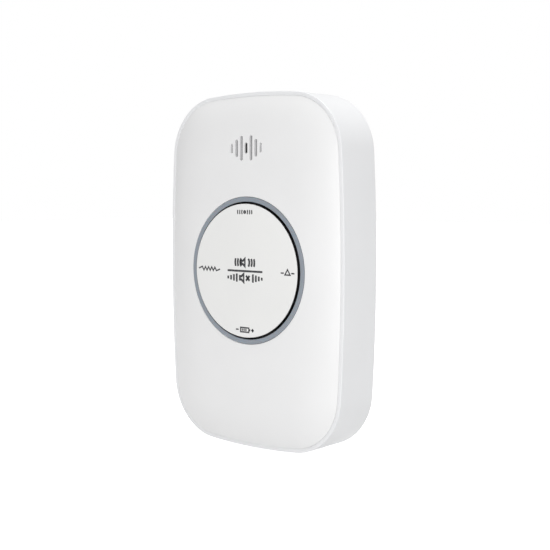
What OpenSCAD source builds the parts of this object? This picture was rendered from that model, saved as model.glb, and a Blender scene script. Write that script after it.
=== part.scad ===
// Wall-mounted carbon monoxide detector with a round test button.
// X runs to the right, Z up and -Y towards the room. The wall is the plane y = 0.

/* [Case] */
// Overall width of the case
case_w = 83; // [82:0.5:86]
// Overall height of the case
case_h = 130; // [129:0.5:134]
// Depth of the case from its back edge to its front rim
case_d = 19.8; // [19.8:0.1:24]
// Radius of the rounded corners
corner_r = 21.8; // [21.6:0.1:23]
// How far the long sides bow outwards
side_bow = 2.9; // [2:0.1:4]
// How far the top and bottom bow outwards
end_bow = 3.58; // [3:0.01:5]
// Thickness of the case's side wall
wall_t = 2.4; // [2:0.1:2.6]
// Width of the thin rim around the front panel
rim_w = 1; // [0.8:0.1:1.1]

/* [Front panel] */
// Width of the groove between the rim and the panel
groove_w = 0.5; // [0.3:0.05:0.6]
// How far the middle of the panel stands in front of the rim
crown_h = 3.5; // [3:0.1:4]
// Distance over which the crowned edge rises to the flat middle
crown_run = 20; // [16:0.5:20]
// Thickness of the panel
panel_t = 2; // [1.6:0.1:2.2]

/* [Sound slots] */
// Height of the slots' centre above the case's centre
slot_z = 44.8; // [44.5:0.1:45.5]
// Distance between slots
slot_pitch = 2.3; // [2:0.1:2.6]
// Width of a slot
slot_w = 1.35; // [0.8:0.05:1.4]
// Width of the two outermost slots
slot_outer_w = 0.95; // [0.6:0.05:1.2]

/* [Button and ring] */
// Radius of the button's face
button_r = 24.15; // [23:0.05:24.2]
// How far the button's face stands in front of the panel
button_proud = 0.8; // [0.5:0.1:1.2]
// Travel of the button
button_travel = 0.6; // [0.4:0.1:0.7]
// Inner radius of the light ring
ring_inner_r = 24.85; // [24.85:0.05:25]
// Outer radius of the light ring
ring_outer_r = 26.9; // [26.5:0.05:27.2]
// Height of the button's centre above the case's centre
button_z = 0.5; // [0:0.1:1]

/* [Wall bracket] */
// Width of the bracket
bracket_w = 56; // [54:1:56]
// Thickness of the bracket
bracket_t = 2; // [1.6:0.1:2]
// Half the width of a screw slot
screw_slot_r = 2.2; // [2:0.1:2.5]
// Length of a screw slot from end to end
screw_slot_len = 8; // [6:0.5:8]
// How far the detector lifts before it comes off the hooks
lift = 8; // [7:0.5:8]

/* [Batteries] */
// Radius of a cell
cell_r = 7.25; // [7.1:0.05:7.25]
// Length of a cell with its nub
cell_len = 50.5; // [50:0.1:50.5]

/* [Hidden] */

round_fn = 64;
gap = 0.3;
past = 1;

// Depth planes
back_y = -gap;
rim_y = back_y - case_d;
front_y = rim_y - crown_h;
back_t = 2;
back_inner_y = back_y - back_t;
ledge_y = rim_y + 2.6;
panel_edge = rim_w + groove_w;
skirt_t = 1.6;
button_y = front_y - button_proud;
cap_t = 1.6;
cap_rear_y = button_y + cap_t;
floor_y = front_y + 4.9;
floor_t = 1.2;
board_t = 1.6;
board_y = floor_y + floor_t + 3.6;
board_rear_y = board_y + board_t;

// Bowed outline
function arc_radius(half, sag) = (half * half + sag * sag) / (2 * sag);
side_r = arc_radius(case_h / 2, side_bow);
end_r = arc_radius(case_w / 2, end_bow);
side_c = [case_w / 2 - side_r, 0];
end_c = [0, case_h / 2 - end_r];
link = end_c - side_c;
link_len = norm(link);
side_reach = side_r - corner_r;
end_reach = end_r - corner_r;
along = (side_reach * side_reach - end_reach * end_reach + link_len * link_len) / (2 * link_len);
across = sqrt(side_reach * side_reach - along * along);
link_dir = link / link_len;
corner_c = side_c + link_dir * along + [-link_dir[1], link_dir[0]] * across;
side_a = atan2(corner_c[1] - side_c[1], corner_c[0] - side_c[0]);
end_a = atan2(corner_c[1] - end_c[1], corner_c[0] - end_c[0]);
side_steps = 4;
corner_steps = 9;
end_steps = 3;
stretch = concat(
    [for (i = [0 : side_steps - 1]) [side_c, side_r, side_a * i / side_steps]],
    [for (i = [0 : corner_steps - 1]) [corner_c, corner_r, side_a + (end_a - side_a) * i / corner_steps]],
    [for (i = [0 : end_steps]) [end_c, end_r, end_a + (90 - end_a) * i / end_steps]]
);
function quarter(inset, sx, sz) = [
    for (s = stretch)
    [sx * (s[0][0] + (s[1] - inset) * cos(s[2])), sz * (s[0][1] + (s[1] - inset) * sin(s[2]))]
];
function forwards(p) = [for (i = [0 : len(p) - 2]) p[i]];
function backwards(p) = [for (i = [len(p) - 1 : -1 : 1]) p[i]];
function outline(inset) = concat(
    forwards(quarter(inset, 1, 1)),
    backwards(quarter(inset, -1, 1)),
    forwards(quarter(inset, -1, -1)),
    backwards(quarter(inset, 1, -1))
);

// Crowned surface
crown_steps = [0, 0.08, 0.18, 0.3, 0.45, 0.62, 0.8, 1];
function crown(d) = crown_h * (1 - pow(1 - d / crown_run, 3));

// Slots, from the left to the right, and the pad behind them
slot_heights = [3.5, 6.3, 9, 4, 9, 6.3, 3.5];
pad_r = 10.8;
pad_front_y = front_y + 1.3;
mesh_y = front_y + 0.9;
mesh_t = 0.2;
pad_rear_y = front_y + 2.9;

// Tabs that locate the panel inside the case wall
tab_x = [-13, 7];
tab_w = 6;
tab_t = 1.4;
tab_clear = 0.8;
tab_y = [rim_y + 0.6, ledge_y + 3];

// Button
cap_rim_h = 0.45;
cap_core_h = 1;
cap_core_inset = 2;
cap_overhang = 0.5;
cap_skirt_t = 0.75;
cap_skirt_end_y = floor_y - 1;
edge_chamfer = 0.25;
post_r = 2.2;
guide_r = 1;
guide_bore_r = 1.06;
guide_head_r = 1.5;
guide_head_t = 0.8;
guide_circle_r = 16;
guide_angles = [90, 210, 330];
plunger_r = 1.7;
plunger_bore_r = 1.76;
plunger_front_y = floor_y + 0.2;
plunger_rear_y = plunger_front_y + 2.2;
switch_w = 6.2;
switch_front_y = board_y - 3.4;

// Light ring and well
sleeve_r = 25.4;
flange_r = 28.6;
flange_front_y = floor_y - 1;
collar_r = 29.1;
collar_end_y = flange_front_y - 0.1;
ring_front_t = 0.8;
led_circle_r = 26.3;
led_count = 8;
led_hole_r = 1.1;
led_w = 1.2;
led_len = 1.6;
led_h = 0.8;

// Wall bracket and its recess
bracket_low_z = -16;
bracket_high_z = 24;
bracket_corner_r = 4;
screw_z = [-10, 16];
hook_x = 23.5;
hook_z = [-13, 12];
hook_w = 6;
hook_neck_h = 3;
hook_head_h = lift;
hook_head_t = 1.6;
recess_y = -bracket_t - gap;
recess_wall_y = recess_y - back_t;
recess_wall_t = 1.2;
recess_x = bracket_w / 2 + gap;
recess_z = [bracket_low_z - lift - gap, bracket_high_z + gap];
channel_x = 5.5;
channel_depth = 3;
channel_end = 4.5;
channel_z = [screw_z[0] - channel_end - lift, screw_z[1] + channel_end];

// Screws and their bosses
screw_places = [[-31, 49], [31, 49], [-33.8, -21], [33.8, -21]];
screw_r = 1.3;
screw_clear_r = 1.6;
screw_head_r = 2.7;
screw_head_t = 2;
screw_sink = 3;
screw_sink_r = 3;
screw_tip_y = rim_y + 0.7;
pilot_r = 1.35;
boss_r = 2.8;
standoff_r = 3.2;
standoff_foot_r = 4.2;
standoff_foot_y = -5.3;
boss_end_y = rim_y - 1.1;
cross_reach = 1.5;
cross_half_w = 0.25;
cross_depth = 1;

// Battery bay
bay_x = 27.9;
bay_z = [-58.8, -28.8];
bay_wall_t = 1.2;
bay_front_y = -16.8;
bay_rear_y = -2.2;
bay_lip_y = ledge_y + 0.1;
bay_lip_z = bay_z[1] + 0.4;
bay_lip_inset = 3.4;
cell_y = -9.4;
cell_z = [-51.2, -36.4];
cell_shift = 1.5;
nub_r = 2.7;
nub_len = 1.3;
plate_t = 0.4;
plate_x = 27.3;
plate_y = [-14, -4.8];
plate_reach = 6.8;
dimple_r = 2.2;
tail_y = [[-16.4, -13.9], [-12.9, -10.4]];
tail_slot_y = [-16.6, -10];
tail_slot_clear = 0.1;

// Battery door
door_t = 1.6;
door_x = [-28.6, 31];
door_z = [-59, -29.2];
door_inset = 4.4;
door_gap = 0.35;
hinge_gap_x = 0.75;
hinge_x = -31;
hinge_r = 1.4;
hinge_y = back_y - hinge_r;
hinge_z = [-48, -36];
hinge_pin_r = 0.8;
hinge_bore_r = 0.86;
hinge_pin_len = 2.5;
lug_len = 2.7;
lug_x = [-32.9, -29.3];
latch_x = [29.6, 30.6];
latch_z = [-45, -39];
latch_reach = 2.4;
grip_x = 23;
grip_z = [-49, -39];
grip_w = 0.8;
grip_pitch = 1.8;
grip_count = 4;
grip_depth = 0.4;

// Horn
horn_z = 44.5;
horn_r = 13.5;
horn_inner_r = 12.3;
horn_shoulder_r = 11.3;
horn_front_y = board_y - 6;
horn_hole_r = 2.5;
disc_y = board_y - 2.3;
disc_t = 0.25;
disc_r = 12.2;
ceramic_r = 8;
ceramic_t = 0.2;
mesh_r = 8.2;
gasket_r = 10.5;
contact_pin_r = 0.5;
contact_pin_x = [3, 10.5];

// Gas sensor
sensor_x = 27.5;
sensor_r = 6.5;
sensor_z = [27, 41];
sensor_cap_h = 2.5;
sensor_vent_r = 1.5;
sensor_pin_x = [-2.5, 0, 2.5];
sensor_pin_r = 0.4;
sensor_pin_len = 4;
sensor_notch_z = [26.3, 44.6];

// Board
board_inset = 4;
board_low_z = -26.6;
board_high_z = 58.5;
tail_top_z = board_low_z - 0.05;

// Parts on the board, with sizes along X, Y and Z
part_rows_z = [-12, -6, 0, 6, 12, 18];
small_part = [1.6, 0.6, 1];
small_part_x = [-35.4, -32.6];
large_part = [3, 1.2, 2];
large_part_x = 31;
chip_x = -12;
chip_z = 8;
chip_w = 7;
chip_t = 1;
chip_lift = 0.2;
chip_pins = 7;
chip_pin_pitch = 0.8;
chip_pin = [1, 0.5, 0.4];
coil_x = -12;
coil_z = 36;
coil_flange_r = 4.2;
coil_flange_t = 0.8;
coil_core_r = 3.2;
coil_core_len = 3.9;
capacitor_x = -27;
capacitor_z = [32, 40.5];
capacitor_r = 3.15;
capacitor_h = 5.8;
capacitor_foot_w = 6.8;
capacitor_foot_t = 0.6;

// A box between two corners, given as a range on each axis
module block(x, y, z) {
    translate([x[0], y[0], z[0]])
        cube([x[1] - x[0], y[1] - y[0], z[1] - z[0]]);
}

// A round bar along Y
module bar_y(r, y, x = 0, z = 0, fn = round_fn) {
    translate([x, y[1], z])
        rotate([90, 0, 0])
            cylinder(r = r, h = y[1] - y[0], $fn = fn);
}

// A round bar along X
module bar_x(r, x, y, z) {
    translate([x[0], y, z])
        rotate([0, 90, 0])
            cylinder(r = r, h = x[1] - x[0], $fn = round_fn);
}

// A round bar along Z
module bar_z(r, z, x, y) {
    translate([x, y, z[0]])
        cylinder(r = r, h = z[1] - z[0], $fn = round_fn);
}

// A slab with the case's outline, inset evenly
module slab(inset, y) {
    translate([0, y[1], 0])
        rotate([90, 0, 0])
            linear_extrude(y[1] - y[0])
                polygon(outline(inset));
}

// A solid turned about the Y axis from points of radius and y
module turned(points, z = 0) {
    translate([0, 0, z])
        rotate([90, 0, 0])
            rotate_extrude($fn = round_fn)
                polygon([for (p = points) [p[0], -p[1]]]);
}

// A slot with round ends that runs along Z and is cut along Y
module slot_cut(w, h, y, x, z) {
    block([x - w / 2, x + w / 2], y, [z - (h - w) / 2, z + (h - w) / 2]);
    for (s = [-1, 1])
        bar_y(w / 2, y, x, z + s * (h - w) / 2, 24);
}

// A solid under the crowned surface, from a flat back to the surface set back by drop
module pillow(start, drop, base_y) {
    depths = [for (s = crown_steps) start + (crown_run - start) * s];
    rings = concat([outline(panel_edge + start)], [for (d = depths) outline(panel_edge + d)]);
    heights = concat([base_y], [for (d = depths) rim_y - crown(d) + drop]);
    n = len(rings[0]);
    last = len(rings) - 1;
    points = [for (i = [0 : last]) for (p = rings[i]) [p[0], heights[i], p[1]]];
    sides = [
        for (i = [0 : last - 1])
        for (k = [0 : n - 1])
        [i * n + k, (i + 1) * n + k, (i + 1) * n + (k + 1) % n, i * n + (k + 1) % n]
    ];
    back = [[for (k = [0 : n - 1]) k]];
    front = [[for (k = [n - 1 : -1 : 0]) last * n + k]];
    polyhedron(points, concat(sides, back, front));
}

// A round wire wound into a spring along Z, with its radius running from r1 to r2
module coil(r1, r2, length, turns, wire_r) {
    sides = 8;
    steps = turns * 12;
    function radius(t) = r1 + (r2 - r1) * t;
    points = [
        for (i = [0 : steps])
        let (t = i / steps, a = 360 * turns * t)
        for (k = [0 : sides - 1])
        let (b = 360 * k / sides, r = radius(t) + wire_r * cos(b))
        [r * cos(a), r * sin(a), wire_r + (length - 2 * wire_r) * t + wire_r * sin(b)]
    ];
    skin = [
        for (i = [0 : sides : (steps - 1) * sides])
        for (k = [0 : sides - 1])
        let (m = (k + 1) % sides)
        [i + k, i + sides + k, i + sides + m, i + m]
    ];
    start = [[for (k = [0 : sides - 1]) k]];
    end = [[for (k = [sides - 1 : -1 : 0]) steps * sides + k]];
    polyhedron(points, concat(skin, start, end), convexity = 10);
}

module wall_bracket() {
    corner_x = bracket_w / 2 - bracket_corner_r;
    corner_z = [bracket_low_z + bracket_corner_r, bracket_high_z - bracket_corner_r];
    color("whitesmoke") {
        difference() {
            union() {
                block([-corner_x, corner_x], [-bracket_t, 0], [bracket_low_z, bracket_high_z]);
                block([-bracket_w / 2, bracket_w / 2], [-bracket_t, 0], corner_z);
                for (x = [-corner_x, corner_x])
                    for (z = corner_z)
                        bar_y(bracket_corner_r, [-bracket_t, 0], x, z);
                for (x = [-hook_x, hook_x])
                    for (z = hook_z)
                        bracket_hook(x, z);
            }
            for (z = screw_z)
                slot_cut(2 * screw_slot_r, screw_slot_len, [-bracket_t - past, past], 0, z);
        }
    }
}

module bracket_hook(x, z) {
    head_y = recess_wall_y - gap;
    side = [x - hook_w / 2, x + hook_w / 2];
    block(side, [head_y - hook_head_t / 2, -bracket_t / 2], [z, z + hook_neck_h]);
    block(side, [head_y - hook_head_t, head_y], [z, z + hook_head_h]);
}

module rear_housing() {
    color("white")
        difference() {
            union() {
                shell();
                recess_walls();
                bay_walls();
                hinge_lugs();
                for (p = screw_places)
                    standoff(p);
            }
            recess_cuts();
            bay_cuts();
            for (p = screw_places) {
                bar_y(screw_sink_r, [back_y - screw_sink, past], p[0], p[1]);
                bar_y(screw_clear_r, [board_rear_y - past, past], p[0], p[1]);
            }
        }
}

module shell() {
    difference() {
        slab(0, [rim_y, back_y]);
        slab(wall_t, [rim_y - past, back_inner_y]);
        slab(rim_w, [rim_y - past, ledge_y]);
    }
}

module recess_walls() {
    wall_x = recess_x + recess_wall_t;
    channel_wall_x = channel_x + recess_wall_t;
    block(
        [-wall_x, wall_x],
        [recess_wall_y, back_y],
        [recess_z[0] - recess_wall_t, recess_z[1] + recess_wall_t]
    );
    block(
        [-channel_wall_x, channel_wall_x],
        [recess_y - channel_depth - recess_wall_t, back_y],
        [channel_z[0] - recess_wall_t, channel_z[1] + recess_wall_t]
    );
}

module recess_cuts() {
    block([-recess_x, recess_x], [recess_y, past], recess_z);
    block([-channel_x, channel_x], [recess_y - channel_depth, past], channel_z);
    for (x = [-hook_x, hook_x])
        for (z = hook_z)
            block(
                [x - hook_w / 2 - gap, x + hook_w / 2 + gap],
                [recess_wall_y - past, past],
                [z - lift - gap, z + hook_neck_h + gap]
            );
}

// The bay's walls, whose front skin stays inside the panel's skirt and below the button well
module bay_walls() {
    outer_x = [-bay_x - bay_wall_t, bay_x + bay_wall_t];
    low_z = bay_z[0] - bay_wall_t;
    intersection() {
        block(outer_x, [bay_lip_y, bay_rear_y], [low_z, bay_z[1] + bay_wall_t]);
        slab(wall_t / 2, [bay_lip_y - past, back_y]);
    }
    intersection() {
        block(outer_x, [bay_front_y - bay_wall_t, bay_lip_y + bay_wall_t / 2], [low_z, bay_lip_z]);
        slab(bay_lip_inset, [bay_front_y - bay_wall_t - past, back_y]);
    }
}

module bay_cuts() {
    hinge_front_y = hinge_y - hinge_r - gap;
    pin_z = [hinge_z[0] - hinge_pin_len - gap, hinge_z[1] + hinge_pin_len + gap];
    intersection() {
        block([-bay_x, bay_x], [bay_front_y, past], bay_z);
        slab(wall_t, [bay_front_y - past, past]);
    }
    door_plate(door_gap, [bay_rear_y - 0.2, past], hinge_gap_x);
    block(
        [hinge_x - hinge_r - door_gap, door_x[0]],
        [hinge_front_y, past],
        [hinge_z[0] - gap, hinge_z[1] + gap]
    );
    bar_z(hinge_bore_r, pin_z, hinge_x, hinge_y);
    block(
        [-plate_x - plate_t - tail_slot_clear, -plate_x + tail_slot_clear],
        tail_slot_y,
        [bay_z[1] - past, bay_z[1] + bay_wall_t + past]
    );
}

module hinge_lugs() {
    for (z = [[hinge_z[0] - gap - lug_len, hinge_z[0]], [hinge_z[1], hinge_z[1] + gap + lug_len]])
        block(lug_x, [hinge_y - hinge_r - 0.2, back_y], z);
}

module standoff(p) {
    bar_y(standoff_r, [board_rear_y, back_y - 1], p[0], p[1]);
    bar_y(standoff_foot_r, [standoff_foot_y, back_y - 0.5], p[0], p[1]);
}

module front_panel() {
    last = len(slot_heights) - 1;
    color("white")
        difference() {
            union() {
                difference() {
                    pillow(0, 0, ledge_y);
                    pillow(skirt_t, panel_t, ledge_y + past);
                }
                bar_y(collar_r, [pad_front_y, collar_end_y], 0, button_z);
                bar_y(pad_r, [pad_front_y, pad_rear_y], 0, slot_z);
                for (p = screw_places)
                    bar_y(boss_r, [boss_end_y, board_y], p[0], p[1]);
                locating_tabs();
            }
            bar_y(ring_outer_r + 0.1, [front_y - past, collar_end_y + past], 0, button_z);
            bar_y(mesh_r + 0.2, [mesh_y, pad_rear_y + past], 0, slot_z);
            for (i = [0 : last])
                slot_cut(
                    i == 0 || i == last ? slot_outer_w : slot_w,
                    slot_heights[i],
                    [front_y - past, pad_rear_y + past],
                    (i - last / 2) * slot_pitch,
                    slot_z
                );
            for (p = screw_places)
                bar_y(pilot_r, [screw_tip_y - 0.4, board_y + past], p[0], p[1], 32);
        }
}

// Tabs that reach inside the case wall at the top and bottom and locate the panel
module locating_tabs() {
    tab_z = case_h / 2 - wall_t - tab_clear;
    for (z = [[tab_z - tab_t, tab_z], [-tab_z, tab_t - tab_z]])
        for (x = tab_x)
            block([x, x + tab_w], tab_y, z);
}

module light_ring() {
    color("lightsteelblue")
        turned(
            [
                [ring_inner_r, front_y],
                [ring_outer_r, front_y],
                [ring_outer_r, flange_front_y],
                [flange_r, flange_front_y],
                [flange_r, floor_y],
                [sleeve_r + 0.1, floor_y],
                [sleeve_r + 0.1, front_y + ring_front_t],
                [ring_inner_r, front_y + ring_front_t]
            ],
            button_z
        );
}

module button_well() {
    color("black")
        difference() {
            turned(
                [
                    [ring_inner_r, front_y + ring_front_t],
                    [sleeve_r, front_y + ring_front_t],
                    [sleeve_r, floor_y],
                    [flange_r, floor_y],
                    [flange_r, floor_y + floor_t],
                    [post_r + 0.8, floor_y + floor_t],
                    [post_r + 0.8, floor_y],
                    [ring_inner_r, floor_y]
                ],
                button_z
            );
            for (a = guide_angles)
                guide_bar(guide_bore_r, [floor_y - past, floor_y + floor_t + past], a);
            for (i = [0 : led_count - 1])
                bar_y(
                    led_hole_r,
                    [floor_y - past, floor_y + floor_t + past],
                    led_circle_r * cos(i * 360 / led_count),
                    button_z + led_circle_r * sin(i * 360 / led_count),
                    24
                );
        }
}

module guide_bar(r, y, a) {
    bar_y(r, y, guide_circle_r * cos(a), button_z + guide_circle_r * sin(a), 32);
}

module button_cap() {
    rim_end_y = button_y + cap_rim_h;
    core_r = button_r - cap_core_inset;
    color("ghostwhite")
        turned(
            [
                [0, button_y],
                [button_r - edge_chamfer, button_y],
                [button_r, button_y + edge_chamfer],
                [button_r, rim_end_y],
                [core_r, rim_end_y],
                [core_r, button_y + cap_core_h],
                [0, button_y + cap_core_h]
            ],
            button_z
        );
}

// The black carrier behind the button's face, with its skirt, switch post and guide pins
module button_carrier() {
    outer_r = button_r - cap_overhang;
    inner_r = outer_r - cap_skirt_t;
    core_r = button_r - cap_core_inset;
    head_y = floor_y + floor_t + gap;
    color("black") {
        turned(
            [
                [0, button_y + cap_core_h],
                [core_r, button_y + cap_core_h],
                [core_r, button_y + cap_rim_h],
                [outer_r, button_y + cap_rim_h],
                [outer_r, cap_skirt_end_y],
                [inner_r, cap_skirt_end_y],
                [inner_r, cap_rear_y],
                [post_r, cap_rear_y],
                [post_r, plunger_front_y - gap],
                [0, plunger_front_y - gap]
            ],
            button_z
        );
        for (a = guide_angles) {
            guide_bar(guide_r, [cap_rear_y - 0.5, head_y + guide_head_t], a);
            guide_bar(guide_head_r, [head_y, head_y + guide_head_t], a);
        }
    }
}

module button_springs() {
    color("silver")
        for (a = guide_angles)
            translate([guide_circle_r * cos(a), floor_y - 0.05, button_z + guide_circle_r * sin(a)])
                rotate([90, 0, 0])
                    coil(1.9, 1.9, floor_y - cap_rear_y - 0.15, 5, 0.2);
}

module circuit_board() {
    cut_y = [board_y - past, board_rear_y + past];
    color("darkgreen")
        difference() {
            intersection() {
                slab(board_inset, [board_y, board_rear_y]);
                block([-case_w, case_w], cut_y, [board_low_z, board_high_z]);
            }
            block([sensor_x - sensor_r - 0.5, case_w], cut_y, sensor_notch_z);
            for (p = screw_places)
                bar_y(screw_clear_r, cut_y, p[0], p[1], 32);
        }
}

module ring_leds() {
    color("gold")
        for (i = [0 : led_count - 1])
            translate([0, 0, button_z])
                rotate([0, -i * 360 / led_count, 0])
                    block(
                        [led_circle_r - led_w / 2, led_circle_r + led_w / 2],
                        [board_y - led_h, board_y],
                        [-led_len / 2, led_len / 2]
                    );
}

// A chip part on the front of the board with its left edge at x and its middle at z
module chip_part(size, x, z) {
    block([x, x + size[0]], [board_y - size[1], board_y], [z - size[2] / 2, z + size[2] / 2]);
}

module board_components() {
    color("dimgray")
        for (z = part_rows_z) {
            for (x = small_part_x)
                chip_part(small_part, x, z);
            chip_part(large_part, large_part_x, z);
        }
}

module microcontroller() {
    half = chip_w / 2;
    color("black")
        block(
            [chip_x - half, chip_x + half],
            [board_y - chip_lift - chip_t, board_y - chip_lift],
            [chip_z - half, chip_z + half]
        );
    color("silver")
        for (x = [chip_x - half - chip_pin[0], chip_x + half])
            for (i = [0 : chip_pins - 1])
                chip_part(chip_pin, x, chip_z + (i - (chip_pins - 1) / 2) * chip_pin_pitch);
}

module horn_coil() {
    core_y = board_rear_y + coil_flange_t;
    rear_y = core_y + coil_core_len;
    color("dimgray") {
        bar_y(coil_core_r, [core_y, rear_y], coil_x, coil_z);
        for (y = [board_rear_y, rear_y])
            bar_y(coil_flange_r, [y, y + coil_flange_t], coil_x, coil_z);
    }
}

module capacitors() {
    half = capacitor_foot_w / 2;
    color("slategray")
        for (z = capacitor_z) {
            bar_y(capacitor_r, [board_rear_y, board_rear_y + capacitor_h], capacitor_x, z);
            block(
                [capacitor_x - half, capacitor_x + half],
                [board_rear_y, board_rear_y + capacitor_foot_t],
                [z - half, z + half]
            );
        }
}

module tact_switch() {
    half = switch_w / 2;
    bore_end_y = plunger_rear_y + button_travel + 0.2;
    color("black")
        difference() {
            block([-half, half], [switch_front_y, board_y], [button_z - half, button_z + half]);
            bar_y(plunger_bore_r, [switch_front_y - past, bore_end_y], 0, button_z);
        }
}

module switch_plunger() {
    color("white")
        bar_y(plunger_r, [plunger_front_y, plunger_rear_y], 0, button_z);
}

module sensor_can() {
    color("silver")
        bar_z(sensor_r, sensor_z, sensor_x, board_rear_y);
}

module sensor_filter_cap() {
    top_z = sensor_z[1] + sensor_cap_h;
    color("black")
        difference() {
            bar_z(sensor_r, [sensor_z[1], top_z], sensor_x, board_rear_y);
            bar_z(sensor_vent_r, [sensor_z[1] + 1, top_z + past], sensor_x, board_rear_y);
        }
}

module sensor_pins() {
    color("gold")
        for (x = sensor_pin_x)
            bar_z(
                sensor_pin_r,
                [sensor_z[0] - sensor_pin_len, sensor_z[0]],
                sensor_x + x,
                board_y - sensor_pin_r
            );
}

module horn_housing() {
    color("dimgray")
        turned(
            [
                [horn_hole_r, horn_front_y],
                [horn_r, horn_front_y],
                [horn_r, board_y],
                [horn_inner_r, board_y],
                [horn_inner_r, disc_y],
                [horn_shoulder_r, disc_y],
                [horn_shoulder_r, horn_front_y + 1],
                [horn_hole_r, horn_front_y + 1]
            ],
            horn_z
        );
}

module piezo_disc() {
    color("goldenrod")
        bar_y(disc_r, [disc_y, disc_y + disc_t], 0, horn_z);
}

module piezo_ceramic() {
    color("lightgray")
        bar_y(ceramic_r, [disc_y + disc_t, disc_y + disc_t + ceramic_t], 0, horn_z);
}

module horn_contacts() {
    disc_rear_y = disc_y + disc_t;
    color("gold") {
        bar_y(contact_pin_r, [disc_rear_y + ceramic_t, board_y], contact_pin_x[0], horn_z, 24);
        bar_y(contact_pin_r, [disc_rear_y, board_y], contact_pin_x[1], horn_z, 24);
    }
}

module horn_gasket() {
    color("darkgray")
        difference() {
            bar_y(gasket_r, [pad_rear_y, horn_front_y], 0, slot_z);
            bar_y(mesh_r + 0.2, [pad_rear_y - past, horn_front_y + past], 0, slot_z);
        }
}

module dust_mesh() {
    color("gray")
        bar_y(mesh_r, [mesh_y, mesh_y + mesh_t], 0, slot_z);
}

// A cell with its nub at the right-hand end when side is 1, or the left when it is -1
module cell(side, z) {
    middle = side * cell_shift;
    body_x = cell_len / 2 - nub_len;
    translate([middle, cell_y, z])
        rotate([0, side * 90, 0])
            rotate_extrude($fn = round_fn)
                polygon([
                    [0, -cell_len / 2],
                    [cell_r - 0.6, -cell_len / 2],
                    [cell_r, -cell_len / 2 + 0.6],
                    [cell_r, body_x - 0.6],
                    [cell_r - 0.6, body_x],
                    [nub_r, body_x],
                    [nub_r, cell_len / 2],
                    [0, cell_len / 2]
                ]);
}

module battery_upper() {
    color("darkorange")
        cell(1, cell_z[1]);
}

module battery_lower() {
    color("darkorange")
        cell(-1, cell_z[0]);
}

// A contact strip at the left-hand end of the bay
module left_strip(y, z) {
    block([-plate_x - plate_t, -plate_x], y, z);
}

module contact_positive() {
    z = cell_z[0];
    color("silver") {
        left_strip(plate_y, [z - plate_reach, z + plate_reach - 0.6]);
        left_strip(tail_y[0], [z - 2, tail_top_z]);
        bar_x(dimple_r, [-plate_x, -cell_shift - cell_len / 2 - 0.05], cell_y, z);
    }
}

module contact_negative() {
    z = cell_z[1];
    color("silver") {
        left_strip([tail_y[1][0], plate_y[1]], [z - plate_reach + 0.4, z + plate_reach]);
        left_strip(tail_y[1], [z, tail_top_z]);
    }
}

module contact_link() {
    color("silver") {
        block([plate_x, plate_x + plate_t], plate_y, [cell_z[0] - plate_reach, cell_z[1] + plate_reach]);
        bar_x(dimple_r, [cell_shift + cell_len / 2 + 0.05, plate_x], cell_y, cell_z[1]);
    }
}

module battery_springs() {
    length = plate_x + cell_shift - cell_len / 2 - 0.1;
    color("silver")
        for (s = [-1, 1])
            translate([s * (plate_x - 0.05), cell_y, s > 0 ? cell_z[0] : cell_z[1]])
                rotate([0, -s * 90, 0])
                    coil(4.6, 2.4, length, 3, 0.35);
}

// The door's plate with its edge moved out by grow, and by more at the hinge side
module door_plate(grow, y, hinge_side) {
    intersection() {
        block([door_x[0] - hinge_side, door_x[1] + grow], y, [door_z[0] - grow, door_z[1] + grow]);
        slab(door_inset - grow, y);
    }
}

module battery_door() {
    hinge_ends = [hinge_z[0] - hinge_pin_len, hinge_z[1] + hinge_pin_len];
    front_y = back_y - door_t;
    color("white") {
        difference() {
            union() {
                door_plate(0, [front_y, back_y], 0);
                block([hinge_x, door_x[0] + past], [front_y, back_y], hinge_z);
                bar_z(hinge_r, hinge_z, hinge_x, hinge_y);
                bar_z(hinge_pin_r, hinge_ends, hinge_x, hinge_y);
                block(latch_x, [front_y - latch_reach, back_y - door_t / 3], latch_z);
            }
            for (i = [0 : grip_count - 1])
                block(
                    [grip_x + i * grip_pitch, grip_x + i * grip_pitch + grip_w],
                    [back_y - grip_depth, past],
                    grip_z
                );
        }
    }
}

module case_screws() {
    head_front_y = back_y - screw_sink;
    color("silver")
        for (p = screw_places)
            difference() {
                union() {
                    bar_y(screw_head_r, [head_front_y, head_front_y + screw_head_t], p[0], p[1], 32);
                    bar_y(screw_r, [screw_tip_y, head_front_y], p[0], p[1], 32);
                }
                for (w = [[cross_reach, cross_half_w], [cross_half_w, cross_reach]])
                    block(
                        [p[0] - w[0], p[0] + w[0]],
                        [head_front_y + screw_head_t - cross_depth, past],
                        [p[1] - w[1], p[1] + w[1]]
                    );
            }
}

wall_bracket();
rear_housing();
front_panel();
light_ring();
button_well();
button_cap();
button_carrier();
button_springs();
circuit_board();
ring_leds();
board_components();
microcontroller();
horn_coil();
capacitors();
tact_switch();
switch_plunger();
sensor_can();
sensor_filter_cap();
sensor_pins();
horn_housing();
piezo_disc();
piezo_ceramic();
horn_contacts();
horn_gasket();
dust_mesh();
battery_upper();
battery_lower();
contact_positive();
contact_negative();
contact_link();
battery_springs();
battery_door();
case_screws();
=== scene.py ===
"""Looks for the carbon monoxide detector: fine shells, procedural materials, soft light and the camera."""

import math

import bmesh
import bpy
import numpy as np
from mathutils import Matrix, Vector


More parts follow.
